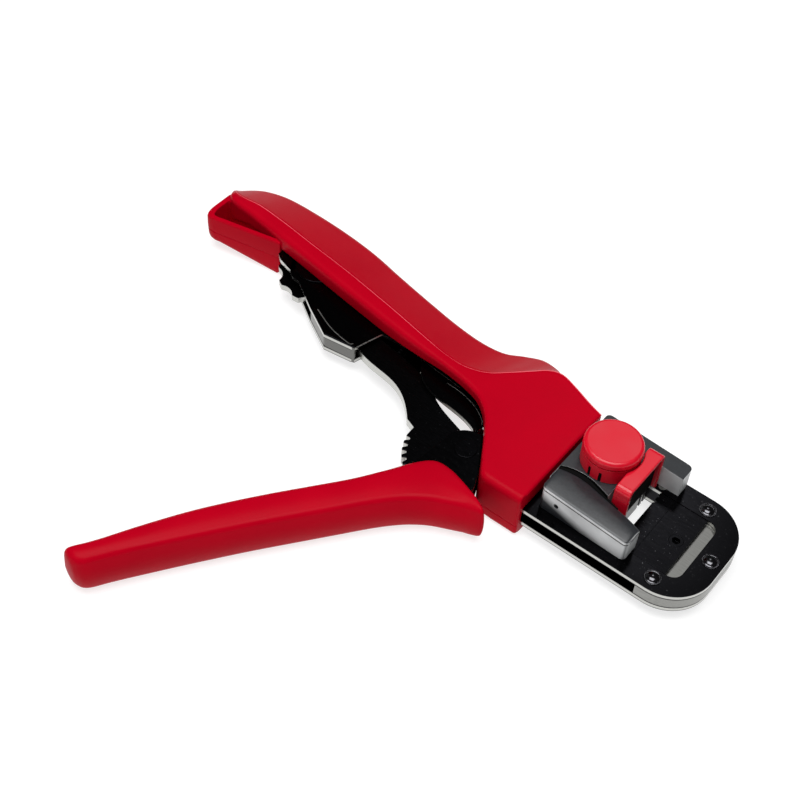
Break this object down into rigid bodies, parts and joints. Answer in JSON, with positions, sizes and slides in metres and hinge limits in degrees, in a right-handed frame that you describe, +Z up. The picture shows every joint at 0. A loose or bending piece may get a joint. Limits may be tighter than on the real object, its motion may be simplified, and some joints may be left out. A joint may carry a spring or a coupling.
{
  "type": "crimping tool",
  "caption": "Hand crimping tool with a sliding die, ratchet toggle linkage, red grips and a locator with a knob on its head.",
  "frame": {"origin": "under the middle of the tool, on the surface that it lies on", "axes": "+X along the head towards its nose, +Y away from the moving handle, +Z up, square to the side plates"},
  "size_m": [0.2134, 0.1598, 0.0307],
  "materials": {
    "red_housing": "satin moulded",
    "red_locator": "satin moulded",
    "black_locator": "satin, fine texture",
    "blackened_steel": "glossy blackened",
    "bright_steel": "ground, satin"
  },
  "bodies": {
    "frame": {"frame_plate_top": "blackened_steel", "frame_plate_bottom": "blackened_steel", "head_spacer": "bright_steel", "guide_bars": "blackened_steel", "spine_bar": "blackened_steel", "nose_rivets": "bright_steel", "guide_rivets": "bright_steel", "spine_rivets": "bright_steel", "tail_bracket": "bright_steel", "tail_pin": "bright_steel", "return_spring": "bright_steel", "shell_top": "red_housing", "shell_bottom": "red_housing", "shell_screws": "bright_steel", "fixed_die": "blackened_steel", "die_block": "blackened_steel", "die_screw": "bright_steel", "locator_body": "black_locator", "locator_screws": "bright_steel", "knob_post": "bright_steel"},
    "adjusting_wheel": {"adjusting_wheel": "bright_steel"},
    "strut": {"strut": "blackened_steel"},
    "moving_handle": {"lever_plate_top": "blackened_steel", "lever_plate_bottom": "blackened_steel", "lever_core": "blackened_steel", "lever_rivets": "bright_steel", "joint_pin": "bright_steel", "joint_washers": "bright_steel", "ram_pin": "bright_steel", "moving_grip": "red_housing", "pawl_pin": "bright_steel", "pawl_spring": "bright_steel"},
    "pawl": {"pawl": "blackened_steel"},
    "ram": {"ram": "blackened_steel", "moving_die": "blackened_steel"},
    "locator_knob": {"locator_knob": "red_locator"},
    "locator_bridge": {"locator_bridge": "red_locator", "bridge_insert": "bright_steel"}
  },
  "joints": [
    {"name": "handle_hinge", "type": "hinge", "parent": "strut", "child": "moving_handle", "pos_m": [0.0247, 0.02568, 0.0083], "axis": [0, 0, -1], "range_deg": [0, 55.75], "stiffness_Nm_per_rad": 0.35, "springref_deg": -20.05},
    {"name": "strut_hinge", "type": "hinge", "parent": "frame", "child": "strut", "pos_m": [-0.0604, 0.05788, 0.0083], "axis": [0, 0, 1], "range_deg": [0, 5.75], "deforming": ["return_spring"]},
    {"name": "ram_slide", "type": "slide", "parent": "frame", "child": "ram", "axis": [1, 0, 0], "range_m": [0, 0.0043]},
    {"name": "pawl_pivot", "type": "hinge", "parent": "moving_handle", "child": "pawl", "pos_m": [0.0163, 0.00008, 0.0083], "axis": [0, 0, 1], "range_deg": [-8, 8], "stiffness_Nm_per_rad": 0.004, "deforming": ["pawl_spring"]},
    {"name": "wheel_spin", "type": "hinge", "parent": "frame", "child": "adjusting_wheel", "pos_m": [-0.0604, 0.05788, 0.0083], "axis": [0, 0, 1], "continuous": true},
    {"name": "knob_turn", "type": "hinge", "parent": "frame", "child": "locator_knob", "pos_m": [0.063, 0.04428, 0.0083], "axis": [0, 0, 1], "range_deg": [0, 180]},
    {"name": "bridge_slide", "type": "slide", "parent": "frame", "child": "locator_bridge", "axis": [1, 0, 0], "range_m": [0, 0.002]}
  ],
  "couplings": [
    {"joint": "strut_hinge", "follows": "handle_hinge", "ratio": 0.10314},
    {"joint": "ram_slide", "follows": "handle_hinge", "m_per_rad": 0.0044192},
    {"joint": "bridge_slide", "follows": "knob_turn", "m_per_rad": 0.00063661}
  ]
}
